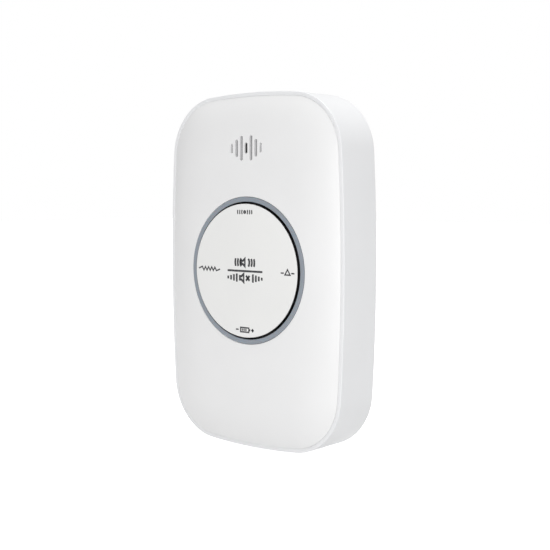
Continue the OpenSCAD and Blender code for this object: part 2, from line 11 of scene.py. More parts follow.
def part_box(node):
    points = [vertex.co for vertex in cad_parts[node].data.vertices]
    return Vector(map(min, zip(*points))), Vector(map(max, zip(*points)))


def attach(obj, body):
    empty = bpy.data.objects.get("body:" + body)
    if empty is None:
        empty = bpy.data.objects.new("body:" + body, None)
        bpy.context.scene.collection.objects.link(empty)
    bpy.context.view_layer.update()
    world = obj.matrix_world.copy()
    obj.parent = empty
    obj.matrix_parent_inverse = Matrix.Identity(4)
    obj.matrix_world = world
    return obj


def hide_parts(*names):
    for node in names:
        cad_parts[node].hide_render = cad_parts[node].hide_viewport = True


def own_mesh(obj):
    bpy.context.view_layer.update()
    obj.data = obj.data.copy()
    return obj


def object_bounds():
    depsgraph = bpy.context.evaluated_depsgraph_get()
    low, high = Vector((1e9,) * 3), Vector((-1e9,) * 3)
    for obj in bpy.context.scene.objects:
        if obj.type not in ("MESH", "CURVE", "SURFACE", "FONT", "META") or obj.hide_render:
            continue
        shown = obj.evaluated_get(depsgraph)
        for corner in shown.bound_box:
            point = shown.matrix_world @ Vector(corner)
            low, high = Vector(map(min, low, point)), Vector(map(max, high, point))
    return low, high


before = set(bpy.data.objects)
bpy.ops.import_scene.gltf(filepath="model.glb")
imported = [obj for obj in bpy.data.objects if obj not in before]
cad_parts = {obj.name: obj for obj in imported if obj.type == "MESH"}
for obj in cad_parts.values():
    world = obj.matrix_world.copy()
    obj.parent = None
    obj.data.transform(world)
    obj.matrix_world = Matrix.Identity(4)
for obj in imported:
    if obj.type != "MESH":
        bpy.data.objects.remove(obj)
cad_low, cad_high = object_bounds()

MM = 0.001


def middle(node):
    """The centre of a CAD node's box."""
    low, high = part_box(node)
    return (low + high) / 2


# Depth planes, from the frame
BACK_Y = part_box("rear_housing")[1].y
RIM_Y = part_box("rear_housing")[0].y
LEDGE_Y = RIM_Y + 2.6 * MM
FRONT_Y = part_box("light_ring")[0].y
BUTTON_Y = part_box("button_cap")[0].y
BOARD_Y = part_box("circuit_board")[0].y
BOARD_REAR_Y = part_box("circuit_board")[1].y
BACK_INNER_Y = BACK_Y - 2 * MM
COLLAR_END_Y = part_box("light_ring")[1].y - 1.1 * MM

# Case outline
HALF_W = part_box("rear_housing")[1].x
HALF_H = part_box("rear_housing")[1].z
SIDE_BOW = 2.9 * MM
END_BOW = 3.58 * MM
CORNER_R = 21.8 * MM
WALL = 2.4 * MM
RIM_W = 1 * MM
GROOVE_H = 0.14 * MM
PANEL_EDGE = 1.5 * MM
GROOVE_END = PANEL_EDGE - 0.04 * MM
PANEL_T = 2 * MM
SKIRT_T = 1.6 * MM
CROWN_H = RIM_Y - FRONT_Y
CROWN_RUN = 20 * MM

# Button and ring
RING_Z = middle("light_ring").z
RING_IN = 25.05 * MM
RING_OUT = 26.75 * MM
PANEL_HOLE_R = RING_OUT + 0.1 * MM
COLLAR_R = 29.1 * MM
FLANGE_R = 28.6 * MM
SLEEVE_R = 25.4 * MM
BUTTON_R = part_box("button_cap")[1].x + 0.12 * MM
CAP_RIM_H = 0.45 * MM
CAP_CORE_R = BUTTON_R - 2 * MM
CAP_REAR_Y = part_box("button_cap")[1].y
CARRIER_REAR_Y = BUTTON_Y + 1.6 * MM
POST_R = 2.2 * MM
INK_T = 0.03 * MM

# Sound slots
SLOT_Z = middle("dust_mesh").z
SLOT_PITCH = 2.3 * MM
SLOT_W = 1.35 * MM
SLOT_OUTER_W = 0.95 * MM
SLOT_HEIGHTS = [h * MM for h in (3.5, 6.3, 9, 4, 9, 6.3, 3.5)]
PAD_R = 10.8 * MM
PAD_REAR_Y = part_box("horn_gasket")[0].y
MESH_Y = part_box("dust_mesh")[0].y
MESH_BORE_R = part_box("dust_mesh")[1].x + 0.2 * MM

# Back of the case
GAP = 0.3 * MM
PAST = 1 * MM
INNER_WALL = 1.2 * MM
SUNK_Y = BACK_Y - 1 * MM
RECESS_X = 28.3 * MM
RECESS_Z = 24.3 * MM
RECESS_Y = BACK_Y - 2 * MM
CHANNEL_X = 5.5 * MM
CHANNEL_Z = (-22.5 * MM, 20.5 * MM)
CHANNEL_Y = -5.3 * MM
HOOKS = [(x * MM, z * MM) for x in (-23.5, 23.5) for z in (-13, 12)]
HOOK_W = 6 * MM
HOOK_NECK_H = 3 * MM
LIFT = 8 * MM
SCREWS = [(-31 * MM, 49 * MM), (31 * MM, 49 * MM), (-33.8 * MM, -21 * MM), (33.8 * MM, -21 * MM)]

# Battery bay and door
BAY_X = 27.9 * MM
BAY_Z = (-58.8 * MM, -28.8 * MM)
BAY_FRONT_Y = -16.8 * MM
BAY_LIP_Y = -4 * MM
BAY_LIP_INSET = 5 * MM
DOOR_X = (-28.6 * MM, 31 * MM)
DOOR_Z = (-59 * MM, -29.2 * MM)
DOOR_T = 1.6 * MM
DOOR_INSET = 4.4 * MM
DOOR_GAP = 0.35 * MM
DOOR_SEAT_Y = -2.4 * MM
HINGE_X = -31 * MM
HINGE_R = 1.4 * MM
HINGE_Y = BACK_Y - HINGE_R
HINGE_Z = (-48 * MM, -36 * MM)
PIN_R = 0.8 * MM
PIN_BORE_R = 0.86 * MM
PIN_LEN = 2.5 * MM
LUG_H = 3 * MM
CELL_R = 7.25 * MM

# Steps that round shapes are made with
CIRCLE_STEPS = 192
BAR_STEPS = 48
CELL_STEPS = 96
WIRE_STEPS = 12
TURN_STEPS = 36
CORNER_ARC_STEPS = 6
SIDE_STEPS, CORNER_STEPS, END_STEPS = 36, 26, 22
EDGE_RINGS, FRONT_RINGS, INSIDE_RINGS, LIP_RINGS = 16, 22, 24, 5

# Radius at which a turned solid is closed with a flat end
AXIS_R = 0.5 * MM


# Outline of the case

def arc_radius(half, sag):
    """The radius of an arc from its half width and its height."""
    return (half * half + sag * sag) / (2 * sag)


SIDE_R = arc_radius(HALF_H, SIDE_BOW)
END_R = arc_radius(HALF_W, END_BOW)
SIDE_C = np.array([HALF_W - SIDE_R, 0.0])
END_C = np.array([0.0, HALF_H - END_R])


def corner_centre():
    """The point that a corner arc turns about, so that it meets both bowed stretches smoothly."""
    link = END_C - SIDE_C
    length = np.hypot(*link)
    unit = link / length
    side_reach, end_reach = SIDE_R - CORNER_R, END_R - CORNER_R
    along = (side_reach**2 - end_reach**2 + length**2) / (2 * length)
    across = math.sqrt(side_reach**2 - along**2)
    return SIDE_C + unit * along + np.array([-unit[1], unit[0]]) * across


CORNER_C = corner_centre()
SIDE_A = math.atan2(*(CORNER_C - SIDE_C)[::-1])
END_A = math.atan2(*(CORNER_C - END_C)[::-1])


def outline(inset):
    """Points of x and z round the case's outline moved in by inset, counter-clockwise from +X."""
    stretches = (
        (SIDE_C, SIDE_R, 0, SIDE_A, SIDE_STEPS),
        (CORNER_C, CORNER_R, SIDE_A, END_A, CORNER_STEPS),
        (END_C, END_R, END_A, math.pi / 2, END_STEPS),
    )
    quarter = []
    for centre, radius, start, end, steps in stretches:
        for a in np.linspace(start, end, steps, endpoint=False):
            quarter.append(centre + (radius - inset) * np.array([math.cos(a), math.sin(a)]))
    quarter.append(np.array([0.0, HALF_H - inset]))
    q = np.array(quarter)
    flip_x, flip_z = np.array([-1, 1]), np.array([1, -1])
    return np.vstack([q[:-1], (q * flip_x)[:0:-1], (-q)[:-1], (q * flip_z)[:0:-1]])


def depth(points):
    """How far points of x and z lie inside the case's outline."""
    p = np.abs(points)
    turn = np.arctan2(p[:, 1] - CORNER_C[1], p[:, 0] - CORNER_C[0])
    side, end, corner = (
        r - np.hypot(*(p - c).T) for c, r in ((SIDE_C, SIDE_R), (END_C, END_R), (CORNER_C, CORNER_R))
    )
    return np.where((turn > SIDE_A) & (turn < END_A), corner, np.minimum(side, end))


def crown(d):
    """How far the panel stands in front of the rim at a distance d from its edge."""
    return CROWN_H * (1 - (1 - np.clip(d / CROWN_RUN, 0, 1)) ** 3)


# Mesh building

def place(points, y):
    """Points of x, y and z from points of x and z and one or many values of y."""
    return np.column_stack([points[:, 0], np.broadcast_to(y, len(points)), points[:, 1]])


def circle(r, x=0.0, z=0.0, steps=CIRCLE_STEPS):
    """Points of x and z evenly round a circle."""
    a = np.linspace(0, 2 * math.pi, steps, endpoint=False)
    return np.column_stack([x + r * np.cos(a), z + r * np.sin(a)])


def about(centre, half):
    """The range that reaches half to each side of a centre."""
    return (centre - half, centre + half)


def grown(span, by):
    """A range made longer at both ends."""
    return (span[0] - by, span[1] + by)


def new_piece(vertices, faces):
    """A mesh object with its faces turned outwards."""
    mesh = bpy.data.meshes.new("piece")
    mesh.from_pydata([tuple(v) for v in vertices], [], faces)
    bm = bmesh.new()
    bm.from_mesh(mesh)
    bmesh.ops.remove_doubles(bm, verts=bm.verts, dist=1e-7)
    bmesh.ops.recalc_face_normals(bm, faces=bm.faces)
    bm.to_mesh(mesh)
    bm.free()
    piece = bpy.data.objects.new("piece", mesh)
    bpy.context.scene.collection.objects.link(piece)
    return piece


def loft(rings, closed=False):
    """A solid through rings of equally many points, capped at both ends, or joined end to end if closed."""
    n = len(rings[0])
    count = len(rings)
    faces = []
    for i in range(count if closed else count - 1):
        a, b = i * n, (i + 1) % count * n
        faces += [(a + k, a + (k + 1) % n, b + (k + 1) % n, b + k) for k in range(n)]
    if not closed:
        faces += [tuple(range(n)), tuple(range((count - 1) * n, count * n))]
    return new_piece(np.vstack(rings), faces)


def rounded(corners):
    """A closed line through corners of (u, v, radius), with each corner turned into an arc."""
    points = []
    for i, (u, v, r) in enumerate(corners):
        here = np.array([u, v], float)
        if r == 0:
            points.append(here)
            continue
        sides = [np.array(corners[k][:2]) - here for k in (i - 1, (i + 1) % len(corners))]
        a, b = (s / np.hypot(*s) for s in sides)
        half = math.acos(np.clip(a @ b, -1, 1)) / 2
        centre = here + (a + b) / np.hypot(*(a + b)) * r / math.sin(half)
        first, last = (here + s * r / math.tan(half) - centre for s in (a, b))
        sweep = math.pi - 2 * half
        for t in np.linspace(0, 1, CORNER_ARC_STEPS + 1):
            swing = math.sin((1 - t) * sweep) * first + math.sin(t * sweep) * last
            points.append(centre + swing / math.sin(sweep))
    return np.array(points)


def turned(corners, closed=True):
    """A solid turned about the button's axis from corners of (radius, y, rounding)."""
    return loft([place(circle(r, z=RING_Z), y) for r, y in rounded(corners)], closed)


def bar(r, x, z, y):
    """A round bar along Y."""
    return loft([place(circle(r, x, z, BAR_STEPS), v) for v in y])


def block(x, y, z, r=0.0):
    """A box whose four edges along Y are rounded by r."""
    line = rounded([(x[0], z[0], r), (x[1], z[0], r), (x[1], z[1], r), (x[0], z[1], r)])
    return loft([place(line, v) for v in y])


def slab(inset, y):
    """A slab with the case's outline."""
    return loft([place(outline(inset), v) for v in y])


def combine(piece, tool, how):
    """Cuts, adds or intersects a tool with a piece, and removes the tool."""
    step = piece.modifiers.new("step", "BOOLEAN")
    step.operation = how
    step.solver = "MANIFOLD"
    step.object = tool
    apply(piece)
    bpy.data.objects.remove(tool)
    return piece


def cut(piece, *tools):
    """Cuts tools from a piece."""
    for tool in tools:
        combine(piece, tool, "DIFFERENCE")
    return piece


def add(piece, *tools):
    """Adds tools to a piece."""
    for tool in tools:
        combine(piece, tool, "UNION")
    return piece


def apply(piece):
    """Makes a piece's modifiers part of its mesh."""
    bpy.context.view_layer.update()
    done = piece.evaluated_get(bpy.context.evaluated_depsgraph_get())
    mesh = bpy.data.meshes.new_from_object(done)
    piece.modifiers.clear()
    piece.data = mesh


def ease(piece, width):
    """Rounds a piece's sharp edges."""
    bevel = piece.modifiers.new("edge", "BEVEL")
    bevel.width = width
    bevel.segments = 2
    bevel.limit_method = "ANGLE"
    bevel.angle_limit = math.radians(35)
    bevel.miter_outer = "MITER_ARC"
    apply(piece)
    return piece


def smooth(piece):
    """Shades a piece smoothly, apart from its sharp edges."""
    sharp = math.radians(40)
    bm = bmesh.new()
    bm.from_mesh(piece.data)
    for face in bm.faces:
        face.smooth = True
    for edge in bm.edges:
        edge.smooth = len(edge.link_faces) == 2 and edge.calc_face_angle(0) < sharp
    bm.to_mesh(piece.data)
    bm.free()
    weigh = piece.modifiers.new("weigh", "WEIGHTED_NORMAL")
    weigh.keep_sharp = True


def join(pieces):
    """One piece from several."""
    bm = bmesh.new()
    for piece in pieces:
        bm.from_mesh(piece.data)
        bpy.data.objects.remove(piece)
    mesh = bpy.data.meshes.new("piece")
    bm.to_mesh(mesh)
    bm.free()
    made = bpy.data.objects.new("piece", mesh)
    bpy.context.scene.collection.objects.link(made)
    return made


def settle(piece, name, body, slot, finish, *nodes):
    """Names a piece, shades it, gives it its material, ties it to its body and hides the CAD nodes that it
    stands for; slot is not used.
    """
    piece.name = piece.data.name = name
    smooth(piece)
    piece.data.materials.clear()
    piece.data.materials.append(finish)
    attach(piece, body)
    if nodes:
        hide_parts(*nodes)
    return piece


# Materials

class Finish:
    """A node material being made, with short names for the nodes that it uses."""

    def __init__(self, name, colour, roughness, metallic=0.0, **sockets):
        self.material = bpy.data.materials.new(name)
        self.material.use_nodes = True
        self.tree = self.material.node_tree
        self.shader = self.tree.nodes["Principled BSDF"]
        self.colour = colour
        self.roughness = roughness
        self.set("Base Color", (*colour, 1))
        self.set("Roughness", roughness)
        self.set("Metallic", metallic)
        for socket, value in sockets.items():
            self.set(socket.replace("_", " "), value)
        self.place = self.node("ShaderNodeTexCoord").outputs["Object"]
        self.height = None

    def set(self, socket, value):
        self.shader.inputs[socket].default_value = value

    def node(self, kind, **settings):
        made = self.tree.nodes.new(kind)
        for key, value in settings.items():
            setattr(made, key, value)
        return made

    def link(self, source, target):
        self.tree.links.new(source, target)

    def stretched(self, scale):
        """Object coordinates multiplied by a scale for each axis."""
        mapping = self.node("ShaderNodeMapping")
        mapping.inputs["Scale"].default_value = scale
        self.link(self.place, mapping.inputs["Vector"])
        return mapping.outputs["Vector"]

    def noise(self, scale, detail=3.0, stretch=None):
        """Noise with scale features per metre."""
        made = self.node("ShaderNodeTexNoise")
        made.inputs["Scale"].default_value = scale
        made.inputs["Detail"].default_value = detail
        self.link(self.stretched(stretch) if stretch else self.place, made.inputs["Vector"])
        return made.outputs["Fac"]

    def spread(self, source, low, high, start=0.3, end=0.7):
        """A value that runs from low to high as the source runs from start to end."""
        ramp = self.node("ShaderNodeMapRange")
        for socket, value in zip(("From Min", "From Max", "To Min", "To Max"), (start, end, low, high)):
            ramp.inputs[socket].default_value = value
        self.link(source, ramp.inputs["Value"])
        return ramp.outputs["Result"]

    def mix(self, source, first, second):
        """A colour between two, by the source."""
        made = self.node("ShaderNodeMix", data_type="RGBA")
        self.link(source, made.inputs["Factor"])
        made.inputs["A"].default_value = (*first, 1)
        made.inputs["B"].default_value = (*second, 1)
        return made.outputs["Result"]

    def mottle(self, scale, amount):
        """Slight unevenness in colour and gloss."""
        source = self.noise(scale)
        darker = [c * (1 - amount) for c in self.colour]
        lighter = [min(1, c * (1 + amount)) for c in self.colour]
        self.link(self.mix(self.spread(source, 0, 1), darker, lighter), self.shader.inputs["Base Color"])
        uneven = self.spread(source, self.roughness * (1 - 2 * amount), self.roughness * (1 + 2 * amount))
        self.link(uneven, self.shader.inputs["Roughness"])
        return self

    def bump(self, source, height, strength=1.0):
        """Raises the surface by the source, up to a height in metres."""
        made = self.node("ShaderNodeBump")
        made.inputs["Strength"].default_value = strength
        made.inputs["Distance"].default_value = height
        self.link(source, made.inputs["Height"])
        if self.height:
            self.link(self.height, made.inputs["Normal"])
        self.height = made.outputs["Normal"]
        self.link(self.height, self.shader.inputs["Normal"])
        return self


def moulded(name, colour, roughness, grain=0.006 * MM, grain_scale=3200, amount=0.012, **sockets):
    """Moulded plastic with a very fine spark-eroded texture and slight unevenness."""
    made = Finish(name, colour, roughness, **sockets)
    made.mottle(45, amount)
    made.bump(made.noise(grain_scale, 2), grain)
    made.bump(made.noise(60, 1), 0.03 * MM, 0.25)
    return made.material


def metal(name, colour, roughness, stretch=(400, 4000, 400), amount=0.06):
    """Drawn or rolled metal with fine lines."""
    made = Finish(name, colour, roughness, metallic=1.0)
    made.mottle(180, amount)
    made.bump(made.noise(1, 4, stretch), 0.004 * MM)
    return made.material


def board_mask():
    """Green solder mask over copper tracks."""
    made = Finish("board_mask", (0.03, 0.16, 0.07), 0.28)
    tracks = made.node("ShaderNodeTexBrick", offset=0.5, squash=1.6, squash_frequency=3)
    tracks.inputs["Scale"].default_value = 90
    tracks.inputs["Mortar Size"].default_value = 0.04
    tracks.inputs["Mortar Smooth"].default_value = 0.4
    swap = made.node("ShaderNodeMapping")
    swap.inputs["Rotation"].default_value = (math.pi / 2, 0, 0)
    made.link(made.place, swap.inputs["Vector"])
    made.link(swap.outputs["Vector"], tracks.inputs["Vector"])
    lines = tracks.outputs["Fac"]
    made.link(made.mix(lines, (0.025, 0.13, 0.055), (0.06, 0.26, 0.11)), made.shader.inputs["Base Color"])
    made.bump(lines, 0.03 * MM)
    made.bump(made.noise(900, 2), 0.004 * MM)
    return made.material


def woven_mesh():
    """Fine grey mesh: two crossing sets of threads."""
    made = Finish("woven_mesh", (0.3, 0.3, 0.305), 0.6)
    sets = []
    for direction in ("X", "Z"):
        wave = made.node("ShaderNodeTexWave", bands_direction=direction, wave_profile="SIN")
        wave.inputs["Scale"].default_value = 900
        made.link(made.place, wave.inputs["Vector"])
        sets.append(wave.outputs["Fac"])
    both = made.node("ShaderNodeMath", operation="MAXIMUM")
    for i, source in enumerate(sets):
        made.link(source, both.inputs[i])
    threads = both.outputs["Value"]
    made.link(made.mix(threads, (0.05, 0.05, 0.05), (0.42, 0.42, 0.43)), made.shader.inputs["Base Color"])
    made.bump(threads, 0.05 * MM)
    return made.material


def foam():
    """Dark closed-cell foam."""
    made = Finish("foam", (0.06, 0.06, 0.062), 0.95)
    cells = made.node("ShaderNodeTexVoronoi")
    cells.inputs["Scale"].default_value = 2600
    made.link(made.place, cells.inputs["Vector"])
    made.link(made.mix(cells.outputs["Distance"], (0.03, 0.03, 0.03), (0.1, 0.1, 0.1)),
              made.shader.inputs["Base Color"])
    made.bump(cells.outputs["Distance"], 0.1 * MM)
    return made.material


def cell_sleeve():
    """An amber printed sleeve with a pale band round each end."""
    amber, pale = (0.62, 0.24, 0.05), (0.66, 0.63, 0.57)
    made = Finish("cell_sleeve", amber, 0.3, Coat_Weight=0.5, Coat_Roughness=0.12)
    parts = made.node("ShaderNodeSeparateXYZ")
    made.link(made.place, parts.inputs["Vector"])
    size = made.node("ShaderNodeMath", operation="ABSOLUTE")
    made.link(parts.outputs["X"], size.inputs[0])
    band = made.spread(size.outputs["Value"], 0, 1, 19.2 * MM, 19.5 * MM)
    made.link(made.mix(band, amber, pale), made.shader.inputs["Base Color"])
    made.link(made.spread(made.noise(120), 0.24, 0.36), made.shader.inputs["Roughness"])
    made.bump(made.noise(700, 2), 0.01 * MM)
    return made.material


def frosted():
    """A frosted blue-grey light guide."""
    grey = (0.258, 0.290, 0.330)
    made = Finish("frosted_ring", grey, 0.42, Subsurface_Weight=0.12, Subsurface_Scale=1.5 * MM)
    made.mottle(70, 0.03)
    made.bump(made.noise(4200, 2), 0.008 * MM)
    return made.material


CASE_WHITE = moulded("case_plastic", (0.80, 0.805, 0.815), 0.44)
PANEL_WHITE = moulded("panel_plastic", (0.82, 0.82, 0.822), 0.40, grain=0.005 * MM)
BUTTON_WHITE = moulded("button_plastic", (0.825, 0.825, 0.815), 0.5, grain=0.004 * MM)
BRACKET_WHITE = moulded("bracket_plastic", (0.76, 0.76, 0.755), 0.55, grain=0.01 * MM)
WELL_BLACK = moulded("well_plastic", (0.012, 0.012, 0.013), 0.55, amount=0.1)
INK = moulded("mark_ink", (0.028, 0.028, 0.032), 0.5, grain=0.002 * MM, amount=0.05)
RING_GREY = frosted()
SLEEVE = cell_sleeve()
STEEL = metal("bright_steel", (0.66, 0.66, 0.67), 0.26)
NICKEL = metal("nickel", (0.70, 0.69, 0.66), 0.24, (3000, 300, 3000))
EPOXY = moulded("epoxy_black", (0.02, 0.02, 0.021), 0.45, amount=0.1)

# The finish of each CAD node that is shown as it is
CAD_FINISHES = {
    "circuit_board": board_mask(),
    "ring_leds": moulded("led_lens", (0.80, 0.72, 0.42), 0.2, amount=0.03, Coat_Weight=0.4),
    "board_components": EPOXY,
    "microcontroller": EPOXY,
    "horn_coil": moulded("ferrite", (0.06, 0.06, 0.063), 0.6, grain=0.02 * MM, amount=0.1),
    "capacitors": metal("capacitor_can", (0.55, 0.56, 0.58), 0.35),
    "tact_switch": moulded("switch_black", (0.03, 0.03, 0.03), 0.4, amount=0.08),
    "switch_plunger": moulded("plunger_white", (0.76, 0.75, 0.72), 0.4, amount=0.02),
    "sensor_can": metal("sensor_steel", (0.64, 0.64, 0.65), 0.3, (3000, 3000, 200)),
    "sensor_filter_cap": moulded("filter_black", (0.025, 0.025, 0.025), 0.6, amount=0.1),
    "sensor_pins": metal("gold_plate", (0.83, 0.62, 0.28), 0.22),
    "horn_contacts": metal("contact_gold", (0.83, 0.62, 0.28), 0.22),
    "horn_housing": moulded("horn_black", (0.035, 0.035, 0.037), 0.5, amount=0.08),
    "piezo_disc": metal("piezo_brass", (0.78, 0.58, 0.27), 0.3, (2500, 300, 2500)),
    "piezo_ceramic": moulded("ceramic", (0.72, 0.71, 0.69), 0.35, amount=0.03),
    "horn_gasket": foam(),
    "dust_mesh": woven_mesh(),
    "contact_positive": NICKEL,
    "contact_negative": NICKEL,
    "contact_link": NICKEL,
    "case_screws": metal("zinc", (0.58, 0.60, 0.62), 0.32),
}


# Pieces

def panel_rings():
    """Rings over the front panel: up its edge, over the crown to the ring's opening, and back inside."""
    slope = 0.8 * MM
    edge = rounded([
        (PANEL_EDGE, LEDGE_Y, 0),
        (PANEL_EDGE, RIM_Y, 0.16 * MM),
        (PANEL_EDGE + slope, RIM_Y - crown(slope), 0),
        (PANEL_EDGE + slope, LEDGE_Y, 0),
    ])[:-1]
    rings = [place(outline(inset), y) for inset, y in edge]
    inner_edge = 9.5 * MM
    for d in np.linspace(slope, inner_edge, EDGE_RINGS)[1:]:
        rings.append(place(outline(PANEL_EDGE + d), RIM_Y - crown(d)))
    lip = 0.25 * MM
    lip_r = PANEL_HOLE_R + lip
    rings += polar_rings(outline(PANEL_EDGE + inner_edge), lip_r, FRONT_RINGS)[1:]
    base = rings[-1]
    centre = np.array([0, RING_Z])
    for a in np.linspace(0, math.pi / 2, LIP_RINGS)[1:]:
        shrink = (PANEL_HOLE_R + lip * (1 - math.sin(a))) / lip_r
        flat = centre + (base[:, [0, 2]] - centre) * shrink
        rings.append(place(flat, base[:, 1] + lip * (1 - math.cos(a))))
    hole = rings[-1][:, [0, 2]]
    collar = centre + (hole - centre) * COLLAR_R / PANEL_HOLE_R
    rings.append(place(hole, COLLAR_END_Y))
    rings.append(place(collar, COLLAR_END_Y))
    inside = PANEL_EDGE + SKIRT_T
    rings += polar_rings(outline(inside), COLLAR_R, INSIDE_RINGS, PANEL_T)[::-1]
    rings.append(place(outline(inside), LEDGE_Y))
    return rings


def polar_rings(line, radius, count, drop=0.0):
    """Rings on the crowned surface, set back by drop, from a line to the circle round the button."""
    centre = np.array([0, RING_Z])
    away = line - centre
    far = np.hypot(*away.T)[:, None]
    rings = []
    for t in np.linspace(0, 1, count):
        flat = centre + away / far * (far + (radius - far) * t)
        rings.append(place(flat, RIM_Y - crown(depth(flat) - PANEL_EDGE) + drop))
    return rings


def slot_tool(index):
    """A slot's cutter, with round ends."""
    outer = index in (0, len(SLOT_HEIGHTS) - 1)
    half_w = (SLOT_OUTER_W if outer else SLOT_W) / 2
    x = (index - (len(SLOT_HEIGHTS) - 1) / 2) * SLOT_PITCH
    y = (FRONT_Y - PAST, PAD_REAR_Y + PAST)
    return block(about(x, half_w), y, about(SLOT_Z, SLOT_HEIGHTS[index] / 2), half_w * 0.98)


def front_panel():
    """The crowned front, with the pad behind the sound slots and four screw bosses."""
    piece = loft(panel_rings(), closed=True)
    pad_front_y = FRONT_Y + 1.3 * MM
    add(piece, bar(PAD_R, 0, SLOT_Z, (pad_front_y, PAD_REAR_Y)))
    boss_r, pilot_r = 2.8 * MM, 1.35 * MM
    for x, z in SCREWS:
        add(piece, bar(boss_r, x, z, (RIM_Y - 1.1 * MM, BOARD_Y)))
        cut(piece, bar(pilot_r, x, z, (RIM_Y + 0.3 * MM, BOARD_Y + PAST)))
    cut(piece, bar(MESH_BORE_R, 0, SLOT_Z, (MESH_Y, PAD_REAR_Y + PAST)))
    cut(piece, *[slot_tool(i) for i in range(len(SLOT_HEIGHTS))])
    ease(piece, 0.12 * MM)
    return settle(piece, "front_panel_shell", "detector", "panel_white", PANEL_WHITE, "front_panel")


def case_shell():
    """The case: back, side wall, rim and ledge, with the bracket recess, the bay and the screw posts."""
    groove_y = RIM_Y + GROOVE_H
    section = rounded([
        (4 * MM, BACK_Y, 0),
        (0, BACK_Y, 0.9 * MM),
        (0, RIM_Y, 0.32 * MM),
        (RIM_W, RIM_Y, 0.1 * MM),
        (RIM_W, groove_y, 0.03 * MM),
        (GROOVE_END, groove_y, 0),
        (GROOVE_END, LEDGE_Y, 0),
        (WALL, LEDGE_Y, 0),
        (WALL, BACK_INNER_Y, 0.8 * MM),
        (5 * MM, BACK_INNER_Y, 0),
    ])
    piece = loft([place(outline(inset), y) for inset, y in section])
    recess_walls(piece)
    bay_walls(piece)
    screw_posts(piece)
    hinge_lugs(piece)
    recess_cuts(piece)
    bay_cuts(piece)
    hinge_cuts(piece)
    contact_slot(piece)
    screw_cuts(piece)
    ease(piece, 0.22 * MM)
    return settle(piece, "case_shell", "detector", "case_white", CASE_WHITE, "rear_housing")


def recess_walls(piece):
    """Walls round the bracket's recess and the deeper channel down its middle."""
    recess_x, recess_z = about(0, RECESS_X + INNER_WALL), about(0, RECESS_Z + INNER_WALL)
    add(piece, block(recess_x, (RECESS_Y - 2 * MM, SUNK_Y), recess_z, 2 * MM))
    channel_x, channel_z = about(0, CHANNEL_X + INNER_WALL), grown(CHANNEL_Z, INNER_WALL)
    add(piece, block(channel_x, (CHANNEL_Y - INNER_WALL, SUNK_Y), channel_z, 1.5 * MM))


def recess_cuts(piece):
    """The bracket's recess, the channel, and the slots that the hooks stand in."""
    cut(piece, block(about(0, RECESS_X), (RECESS_Y, PAST), about(0, RECESS_Z), 3 * MM))
    cut(piece, block(about(0, CHANNEL_X), (CHANNEL_Y, PAST), CHANNEL_Z, 2 * MM))
    for x, z in HOOKS:
        slot_z = (z - LIFT - GAP, z + HOOK_NECK_H + GAP)
        cut(piece, block(about(x, HOOK_W / 2 + GAP), (CHANNEL_Y, PAST), slot_z, 0.6 * MM))


def bay_walls(piece):
    """Walls round the battery bay, and the skin between the cells and the front."""
    x = about(0, BAY_X + INNER_WALL)
    low_z, high_z = grown(BAY_Z, INNER_WALL)
    case_y = (RIM_Y, 0)
    walls = block(x, (LEDGE_Y + 0.1 * MM, SUNK_Y), (low_z, high_z), 1 * MM)
    add(piece, combine(walls, slab(WALL / 2, case_y), "INTERSECT"))
    skin = block(x, (BAY_FRONT_Y - INNER_WALL, BAY_FRONT_Y), (low_z, BAY_Z[1] + 0.4 * MM), 1 * MM)
    add(piece, combine(skin, slab(3.4 * MM, case_y), "INTERSECT"))


def bay_cuts(piece):
    """The bay, narrower at its opening so that the door covers it, and the door's seat."""
    inside = (WALL, (BAY_FRONT_Y, BAY_LIP_Y))
    opening = (BAY_LIP_INSET, (BAY_LIP_Y - 0.1 * MM, PAST))
    for inset, y in (inside, opening):
        bay = block(about(0, BAY_X), y, BAY_Z, 0.8 * MM)
        cut(piece, combine(bay, slab(inset, (RIM_Y, 2 * PAST)), "INTERSECT"))
    hinge_side_gap = 0.75 * MM
    cut(piece, door_outline(DOOR_GAP, (DOOR_SEAT_Y, PAST), hinge_side_gap))


def hinge_lugs(piece):
    """The two lugs that hold the door's pins."""
    x, y = (-32.9 * MM, -29.3 * MM), (HINGE_Y - 1.6 * MM, SUNK_Y)
    for z in ((HINGE_Z[0] - LUG_H, HINGE_Z[0]), (HINGE_Z[1], HINGE_Z[1] + LUG_H)):
        add(piece, block(x, y, z, 0.4 * MM))


def hinge_cuts(piece):
    """Room for the door's barrel between the lugs, and the bores for its pins."""
    pocket_x = (HINGE_X - HINGE_R - DOOR_GAP, DOOR_X[0])
    cut(piece, block(pocket_x, (HINGE_Y - HINGE_R - GAP, PAST), grown(HINGE_Z, GAP), 0.3 * MM))
    cut(piece, along_z(PIN_BORE_R, grown(HINGE_Z, PIN_LEN + GAP)))


def contact_slot(piece):
    """The slot that the battery contacts' tails pass through to the board."""
    x, y, z = about(-27.5 * MM, 0.3 * MM), (-16.6 * MM, -10 * MM), (-29.8 * MM, -26.6 * MM)
    cut(piece, block(x, y, z))


def screw_posts(piece):
    """A post with a wide foot for each screw."""
    post_r, foot_r = 3.2 * MM, 4.2 * MM
    for x, z in SCREWS:
        add(piece, bar(post_r, x, z, (BOARD_REAR_Y, SUNK_Y)))
        add(piece, bar(foot_r, x, z, (CHANNEL_Y, SUNK_Y)))


def screw_cuts(piece):
    """A sunk seat and a clear bore for each screw."""
    seat_r, bore_r = 3 * MM, 1.6 * MM
    for x, z in SCREWS:
        cut(piece, bar(seat_r, x, z, (BACK_Y - 3 * MM, PAST)))
        cut(piece, bar(bore_r, x, z, (-14 * MM, PAST)))


